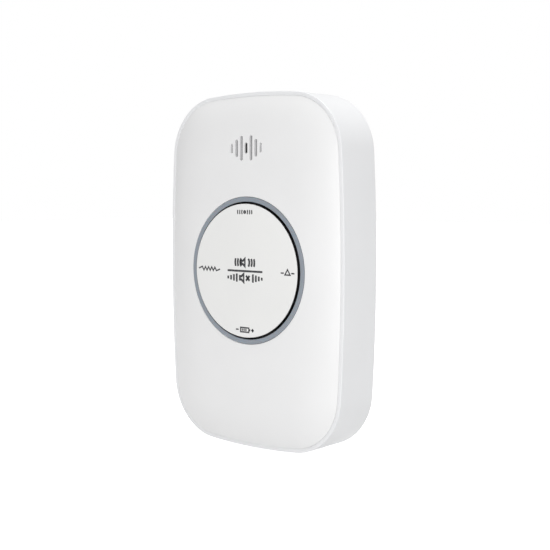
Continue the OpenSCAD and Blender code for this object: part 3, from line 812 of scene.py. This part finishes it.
def door_outline(grow, y, hinge_side):
    """The battery door's plate, with its edge moved out by grow, and by more at the hinge side."""
    x = (DOOR_X[0] - hinge_side, DOOR_X[1] + grow)
    plate = block(x, y, grown(DOOR_Z, grow), 1 * MM)
    return combine(plate, slab(DOOR_INSET - grow, grown(y, PAST)), "INTERSECT")


def along_z(r, z):
    """A round bar along the door's hinge."""
    line = circle(r, HINGE_X, HINGE_Y, BAR_STEPS)
    return loft([np.column_stack([line, np.full(len(line), v)]) for v in z])


def battery_door():
    """The door's plate, with its barrel and pins, its latch and its finger grip."""
    front_y = BACK_Y - DOOR_T
    piece = door_outline(0, (front_y, BACK_Y), 0)
    add(piece, block((HINGE_X, DOOR_X[0] + 1 * MM), (front_y, BACK_Y - 0.01 * MM), HINGE_Z))
    add(piece, along_z(HINGE_R, HINGE_Z))
    add(piece, along_z(PIN_R, grown(HINGE_Z, PIN_LEN)))
    latch_x, latch_z = (29.6 * MM, 30.6 * MM), (-45 * MM, -39 * MM)
    latch_y = (front_y - 2.4 * MM, BACK_Y - 0.5 * MM)
    add(piece, block(latch_x, latch_y, latch_z, 0.3 * MM))
    grip_y, grip_z = (BACK_Y - 0.4 * MM, PAST), (-49 * MM, -39 * MM)
    grip_w, grip_pitch = 0.8 * MM, 1.8 * MM
    for i in range(4):
        x = 23 * MM + grip_pitch * i
        cut(piece, block((x, x + grip_w), grip_y, grip_z, 0.38 * MM))
    ease(piece, 0.15 * MM)
    return settle(piece, "battery_door_plate", "door", "door_white", CASE_WHITE, "battery_door")


def wall_bracket():
    """The wall plate, with its four hooks and two screw slots."""
    low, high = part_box("wall_bracket")
    plate_y = -2 * MM
    piece = block((low.x, high.x), (plate_y, 0), (low.z, high.z), 4 * MM)
    neck_y = (low.y + 0.8 * MM, plate_y / 2)
    head_y = (low.y, low.y + 1.6 * MM)
    for x, z in HOOKS:
        side = about(x, HOOK_W / 2)
        add(piece, block(side, neck_y, (z, z + HOOK_NECK_H), 0.3 * MM))
        add(piece, block(side, head_y, (z, z + LIFT), 0.6 * MM))
    slot_x, slot_half_h = about(0, 2.2 * MM), 4 * MM
    for z in (-10 * MM, 16 * MM):
        cut(piece, block(slot_x, (plate_y - PAST, PAST), about(z, slot_half_h), 2.15 * MM))
    ease(piece, 0.25 * MM)
    return settle(piece, "bracket_plate", "bracket", "bracket_white", BRACKET_WHITE, "wall_bracket")


def slot_shade_window():
    """A black sheet in the middle slot, just in front of the mesh: painted shade that stands for the dark
    depth of the open slot.
    """
    reach = 0.3 * MM
    half_h = SLOT_HEIGHTS[len(SLOT_HEIGHTS) // 2] / 2 + reach
    y = (MESH_Y - 0.3 * MM, MESH_Y - 0.02 * MM)
    piece = block(about(0, SLOT_W / 2 + reach), y, about(SLOT_Z, half_h), 0.9 * MM)
    ease(piece, 0.05 * MM)
    return settle(piece, "slot_shade_window", "detector", "well_black", WELL_BLACK)


def around(count, radius, start):
    """Places evenly round the button's centre."""
    angles = [start + 2 * math.pi * i / count for i in range(count)]
    return [(radius * math.cos(a), RING_Z + radius * math.sin(a)) for a in angles]


GUIDES = around(3, 16 * MM, math.pi / 2)
LIGHTS = around(8, 26.3 * MM, 0)


def light_ring():
    """The frosted ring, with a flange behind the panel."""
    flange_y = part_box("light_ring")[1].y
    flange_front_y = flange_y - 1 * MM
    inner_r = SLEEVE_R + 0.1 * MM
    face_rear_y = FRONT_Y + 0.8 * MM
    piece = turned([
        (RING_IN, FRONT_Y, 0.15 * MM),
        (RING_OUT, FRONT_Y, 0.18 * MM),
        (RING_OUT, flange_front_y, 0),
        (FLANGE_R, flange_front_y, 0.2 * MM),
        (FLANGE_R, flange_y, 0),
        (inner_r, flange_y, 0),
        (inner_r, face_rear_y, 0),
        (RING_IN, face_rear_y, 0),
    ])
    return settle(piece, "ring_guide", "detector", "ring_grey", RING_GREY, "light_ring")


def button_well():
    """The black cup round the button, with bores for the post, the guide pins and the ring's lights."""
    low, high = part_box("button_well")
    floor_y = high.y - 1.2 * MM
    post_bore_r, pin_bore_r, light_hole_r = 3 * MM, 1.06 * MM, 1.1 * MM
    piece = turned([
        (RING_IN, low.y, 0),
        (SLEEVE_R, low.y, 0),
        (SLEEVE_R, floor_y, 0),
        (FLANGE_R, floor_y, 0),
        (FLANGE_R, high.y, 0),
        (post_bore_r, high.y, 0),
        (post_bore_r, floor_y, 0.2 * MM),
        (RING_IN, floor_y, 0.4 * MM),
    ])
    through = (floor_y - PAST, high.y + PAST)
    for x, z in GUIDES:
        cut(piece, bar(pin_bore_r, x, z, through))
    for x, z in LIGHTS:
        cut(piece, bar(light_hole_r, x, z, through))
    return settle(piece, "button_cup", "detector", "well_black", WELL_BLACK, "button_well")


def button_cap():
    """The button's white face, with a thin rim and a core that sits in the carrier."""
    face_y = BUTTON_Y + INK_T
    rim_y = BUTTON_Y + CAP_RIM_H
    piece = turned([
        (AXIS_R, face_y, 0),
        (BUTTON_R, face_y, 0.2 * MM),
        (BUTTON_R, rim_y, 0.1 * MM),
        (CAP_CORE_R, rim_y, 0),
        (CAP_CORE_R, CAP_REAR_Y, 0),
        (AXIS_R, CAP_REAR_Y, 0),
    ], closed=False)
    return settle(piece, "button_face", "button", "button_white", BUTTON_WHITE, "button_cap")


def button_carrier():
    """The black carrier behind the button's face, with its skirt, switch post and guide pins."""
    low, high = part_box("button_carrier")
    skirt_r = high.x
    skirt_inner_r = skirt_r - 0.75 * MM
    skirt_y = -19.7 * MM
    post_y = -18.8 * MM
    piece = turned([
        (AXIS_R, CAP_REAR_Y, 0),
        (CAP_CORE_R, CAP_REAR_Y, 0),
        (CAP_CORE_R, low.y, 0),
        (skirt_r, low.y, 0.05 * MM),
        (skirt_r, skirt_y, 0.2 * MM),
        (skirt_inner_r, skirt_y, 0),
        (skirt_inner_r, CARRIER_REAR_Y, 0.2 * MM),
        (POST_R, CARRIER_REAR_Y, 0),
        (POST_R, post_y, 0.2 * MM),
        (AXIS_R, post_y, 0),
    ], closed=False)
    pin_r, head_r = 1 * MM, 1.5 * MM
    pin_y = (CARRIER_REAR_Y - 0.5 * MM, high.y)
    head_y = (high.y - 0.8 * MM, high.y - 0.01 * MM)
    for x, z in GUIDES:
        add(piece, bar(pin_r, x, z, pin_y))
        add(piece, bar(head_r, x, z, head_y))
    return settle(piece, "button_frame", "button", "well_black", WELL_BLACK, "button_carrier")


def cell_rings(name, side, corners):
    """Rings turned about a cell's own axis from corners of (radius, distance along it, rounding)."""
    centre = middle(name)
    rings = []
    for r, u in rounded(corners):
        line = circle(r, steps=CELL_STEPS)
        x = np.full(len(line), centre.x + side * u)
        rings.append(np.column_stack([x, centre.y + line[:, 0], centre.z + line[:, 1]]))
    return rings


def half_length(name):
    """Half a cell's length."""
    low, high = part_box(name)
    return (high.x - low.x) / 2


def cell(name, side):
    """A cell in its sleeve, with a bright can end and nub."""
    half = half_length(name)
    can_r, nub_r = 6.3 * MM, 2.7 * MM
    body_end = half - 1.3 * MM
    can = loft(cell_rings(name, side, [
        (AXIS_R, -half, 0),
        (can_r, -half, 0.5 * MM),
        (can_r, body_end, 0.4 * MM),
        (nub_r, body_end, 0.3 * MM),
        (nub_r, half, 0.4 * MM),
        (AXIS_R, half, 0),
    ]))
    settle(can, name + "_can", "detector", "nickel_plate", NICKEL)
    sleeve_start, sleeve_end = 0.25 * MM - half, body_end - 0.1 * MM
    start_r, end_r = 5.6 * MM, 5.4 * MM
    sleeve = loft(cell_rings(name, side, [
        (start_r, sleeve_start, 0.1 * MM),
        (CELL_R, sleeve_start, 0.7 * MM),
        (CELL_R, sleeve_end, 0.7 * MM),
        (end_r, sleeve_end, 0.1 * MM),
        (end_r, body_end - 0.8 * MM, 0),
        (start_r, 1 * MM - half, 0),
    ]), closed=True)
    settle(sleeve, name + "_sleeve", "detector", "cell_wrap", SLEEVE, name)


def coil(start, along, radii, length, turns, wire_r):
    """A round wire wound into a spring from start along a direction, from the first radius to the second."""
    along, across = np.array(along, float), np.array([0.0, 0.0, 1.0])
    side = np.cross(along, across)
    section = circle(wire_r, steps=WIRE_STEPS)
    rings = []
    for t in np.linspace(0, 1, turns * TURN_STEPS + 1):
        turn = 2 * math.pi * turns * t
        out = math.cos(turn) * across + math.sin(turn) * side
        on_axis = np.array(start) + along * (wire_r + (length - 2 * wire_r) * t)
        reach = radii[0] + (radii[1] - radii[0]) * t
        rings.append([on_axis + out * (reach + u) + along * v for u, v in section])
    return loft(rings)


def return_springs():
    """The three springs under the button."""
    low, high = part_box("button_springs")
    length = high.y - low.y
    radii = (1.9 * MM, 1.9 * MM)
    coils = [coil((x, high.y, z), (0, -1, 0), radii, length, turns=5, wire_r=0.2 * MM) for x, z in GUIDES]
    piece = settle(join(coils), "return_springs", "detector", "spring_steel", STEEL, "button_springs")
    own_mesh(piece)


def cell_springs():
    """The two cone springs at the cells' flat ends."""
    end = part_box("battery_springs")[1].x
    radii = (4.6 * MM, 2.4 * MM)
    coils = []
    for name, side in (("battery_upper", -1), ("battery_lower", 1)):
        centre = middle(name)
        length = end - abs(centre.x + side * half_length(name)) - 0.05 * MM
        start = (side * end, centre.y, centre.z)
        coils.append(coil(start, (-side, 0, 0), radii, length, turns=3, wire_r=0.35 * MM))
    settle(join(coils), "cell_springs", "detector", "spring_steel", STEEL, "battery_springs")


# Marks on the button, all plain symbols, in millimetres from its centre

BOLD, THIN = 0.84, 0.5


def stroke(points, width, closed=False):
    """A printed line of even width through points of x and z."""
    line = np.array(points, float) * MM
    ahead = np.roll(line, -1, axis=0) - line
    behind = line - np.roll(line, 1, axis=0)
    if not closed:
        ahead[-1] = behind[-1]
        behind[0] = ahead[0]
    ahead /= np.hypot(*ahead.T)[:, None]
    behind /= np.hypot(*behind.T)[:, None]
    along = ahead + behind
    along /= np.hypot(*along.T)[:, None]
    mitre = 1 / np.maximum(0.5, (along * ahead).sum(axis=1))[:, None]
    across = np.column_stack([-along[:, 1], along[:, 0]]) * mitre * width * MM / 2
    top, bottom = BUTTON_Y, BUTTON_Y + 3 * INK_T
    rings = []
    for p, a in zip(line, across):
        left, right = p + a, p - a
        corners = [(left, top), (right, top), (right, bottom), (left, bottom)]
        rings.append(np.array([(c[0], y, c[1] + RING_Z) for c, y in corners]))
    return loft(rings, closed)


def arc_points(x, z, r, degrees):
    return [(x + r * math.cos(a), z + r * math.sin(a)) for a in np.radians(degrees)]


def circle_mark(x, z, r, width):
    return stroke(arc_points(x, z, r, np.linspace(0, 360, 33)[:-1]), width, True)


def speaker(x, z, size):
    """A loudspeaker's outline."""
    shape = [(-0.5, -0.2), (-0.22, -0.2), (0.12, -0.5), (0.12, 0.5), (-0.22, 0.2), (-0.5, 0.2)]
    return stroke([(x + size * u, z + size * v) for u, v in shape], BOLD, True)


def dash(x, z, length, width):
    return stroke([(x - length / 2, z), (x + length / 2, z)], width)


def post(x, z, height, width):
    return stroke([(x, z - height / 2), (x, z + height / 2)], width)


def waves(z, radii, half_chord, width):
    """Sound waves to both sides of a point on the button's upright middle line."""
    marks = []
    for r in radii:
        reach = math.degrees(math.asin(half_chord / r))
        for turn in (0, 180):
            marks.append(stroke(arc_points(0, z, r, np.linspace(turn - reach, turn + reach, 17)), width))
    return marks


def sounding():
    """A loudspeaker between sound waves, above the line."""
    z = 3.05
    return [speaker(-0.3, z, 2.8)] + waves(z, (2.2, 3.4, 4.6), 1.4, BOLD)


def silenced():
    """A crossed-out loudspeaker between fading bars, below the line."""
    z = -2.6
    cross = [stroke([(0.6, z + s * 0.9), (2.3, z - s * 0.9)], BOLD) for s in (-1, 1)]
    bars = [post(s * (3.9 + 1.4 * i), z, 3.0 - 0.65 * i, BOLD) for s in (-1, 1) for i in range(4)]
    return [speaker(-0.9, z, 3.0)] + cross + bars


def alarm_source():
    """A small circle between sound waves, at the top."""
    z = 21.3
    return [circle_mark(0, z, 0.4, 0.6)] + waves(z, (1.4, 2.4, 3.4), 0.75, THIN)


def battery():
    """A battery between a minus and a plus sign, at the bottom."""
    z = -21.5
    shell = [(-2.1, z - 0.8), (1.9, z - 0.8), (1.9, z + 0.8), (-2.1, z + 0.8)]
    marks = [stroke(shell, THIN, True), dash(2.35, z, 0.5, 0.8)]
    marks += [post(x, z, 0.9, 0.55) for x in (-1.3, -0.4, 0.5)]
    marks += [dash(s * 3.7, z, 1.3, THIN) for s in (-1, 1)]
    return marks + [post(3.7, z, 1.3, THIN)]


def warning():
    """A plain triangle between dashes, at the right."""
    x, z = 20, 0.2
    triangle = [(x - 1.2, z - 0.8), (x + 1.2, z - 0.8), (x, z + 1.1)]
    return [stroke(triangle, THIN, True)] + [dash(x + s * 2.4, z - 0.2, 1.4, THIN) for s in (-1, 1)]


def wavering():
    """A line that wavers, at the left."""
    x, z = -17.6, 0.15
    beats = [(x - 3.6 + 0.8 * i, z + 0.65 * (-1) ** i) for i in range(10)]
    return [stroke([(x - 5.4, z), *beats, (x + 5.4, z)], THIN)]


def button_marks():
    """The symbols that stand where the button is printed, as one thin piece."""
    marks = [dash(0, -0.07, 16.8, 0.74)]
    for symbol in (sounding, silenced, alarm_source, battery, warning, wavering):
        marks += symbol()
    settle(join(marks), "button_marks", "button", "mark_ink", INK)


# Floor, light and camera

def floor():
    """A flat, pale floor just under the detector, which glows a little."""
    half, top = 3.0, cad_low.z - 0.5 * MM
    base = top - 10 * MM
    corners = np.array([(-half, base), (half, base), (half, top), (-half, top)])
    piece = loft([place(corners, y) for y in (-half, half)])
    piece.name = piece.data.name = "floor"
    made = Finish("floor_paint", (0.93, 0.93, 0.93), 0.75, Emission_Color=(1, 1, 1, 1), Emission_Strength=0.7)
    made.mottle(8, 0.004)
    made.bump(made.noise(300, 2), 0.02 * MM)
    piece.data.materials.append(made.material)
    piece.visible_diffuse = False


def softbox(name, towards, share, size, distance):
    """A square light, strong enough to bring a facing white surface to about that share of full white."""
    light = bpy.data.lights.new(name, "AREA")
    light.shape = "SQUARE"
    light.size = size
    light.energy = share * (math.pi * distance) ** 2
    holder = bpy.data.objects.new(name, light)
    bpy.context.scene.collection.objects.link(holder)
    away = Vector(towards).normalized()
    holder.location = away * distance
    holder.rotation_mode = "QUATERNION"
    holder.rotation_quaternion = away.to_track_quat("Z", "Y")


def surroundings(glow):
    """White surroundings that light the object with a share, glow, of what they show."""
    world = bpy.data.worlds.new("surroundings")
    bpy.context.scene.world = world
    world.use_nodes = True
    tree = world.node_tree
    tree.nodes.clear()
    path = tree.nodes.new("ShaderNodeLightPath")
    level = tree.nodes.new("ShaderNodeMapRange")
    level.inputs["To Min"].default_value = glow
    level.inputs["To Max"].default_value = 1.0
    background = tree.nodes.new("ShaderNodeBackground")
    background.inputs["Color"].default_value = (1, 1, 1, 1)
    out = tree.nodes.new("ShaderNodeOutputWorld")
    tree.links.new(path.outputs["Is Camera Ray"], level.inputs["Value"])
    tree.links.new(level.outputs["Result"], background.inputs["Strength"])
    tree.links.new(background.outputs["Background"], out.inputs["Surface"])


def camera():
    """The camera, to the right of the detector and a little above its middle."""
    data = bpy.data.cameras.new("camera")
    data.sensor_width = 36
    data.lens = 72.2
    data.clip_start = 0.01
    holder = bpy.data.objects.new("camera", data)
    bpy.context.scene.collection.objects.link(holder)
    azimuth, elevation = math.radians(39.98), math.radians(4.1)
    level = math.cos(elevation)
    back = Vector((math.sin(azimuth) * level, -math.cos(azimuth) * level, math.sin(elevation)))
    right = Vector((math.cos(azimuth), math.sin(azimuth), 0))
    turn = Matrix((right, back.cross(right), back)).transposed().to_4x4()
    standpoint = (0.2646, -0.3229, 0.0276)
    holder.matrix_world = Matrix.Translation(standpoint) @ turn
    bpy.context.scene.camera = holder


camera()
surroundings(glow=0.62)
softbox("key_light", towards=(0.55, -0.8, -0.10), share=0.68, size=0.28, distance=0.42)
softbox("top_light", towards=(0.1, 0.15, 1), share=0.66, size=1.0, distance=1.3)
bpy.context.scene.view_settings.view_transform = "Standard"
floor()

front_panel()
case_shell()
wall_bracket()
battery_door()
# Black sheet in the middle slot: painted shade for the slot's dark depth.
slot_shade_window()
light_ring()
button_well()
button_cap()
button_carrier()
cell("battery_upper", side=1)
cell("battery_lower", side=-1)
return_springs()
cell_springs()
button_marks()

for node, finish in CAD_FINISHES.items():
    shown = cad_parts[node]
    shown.data.materials.clear()
    shown.data.materials.append(finish)
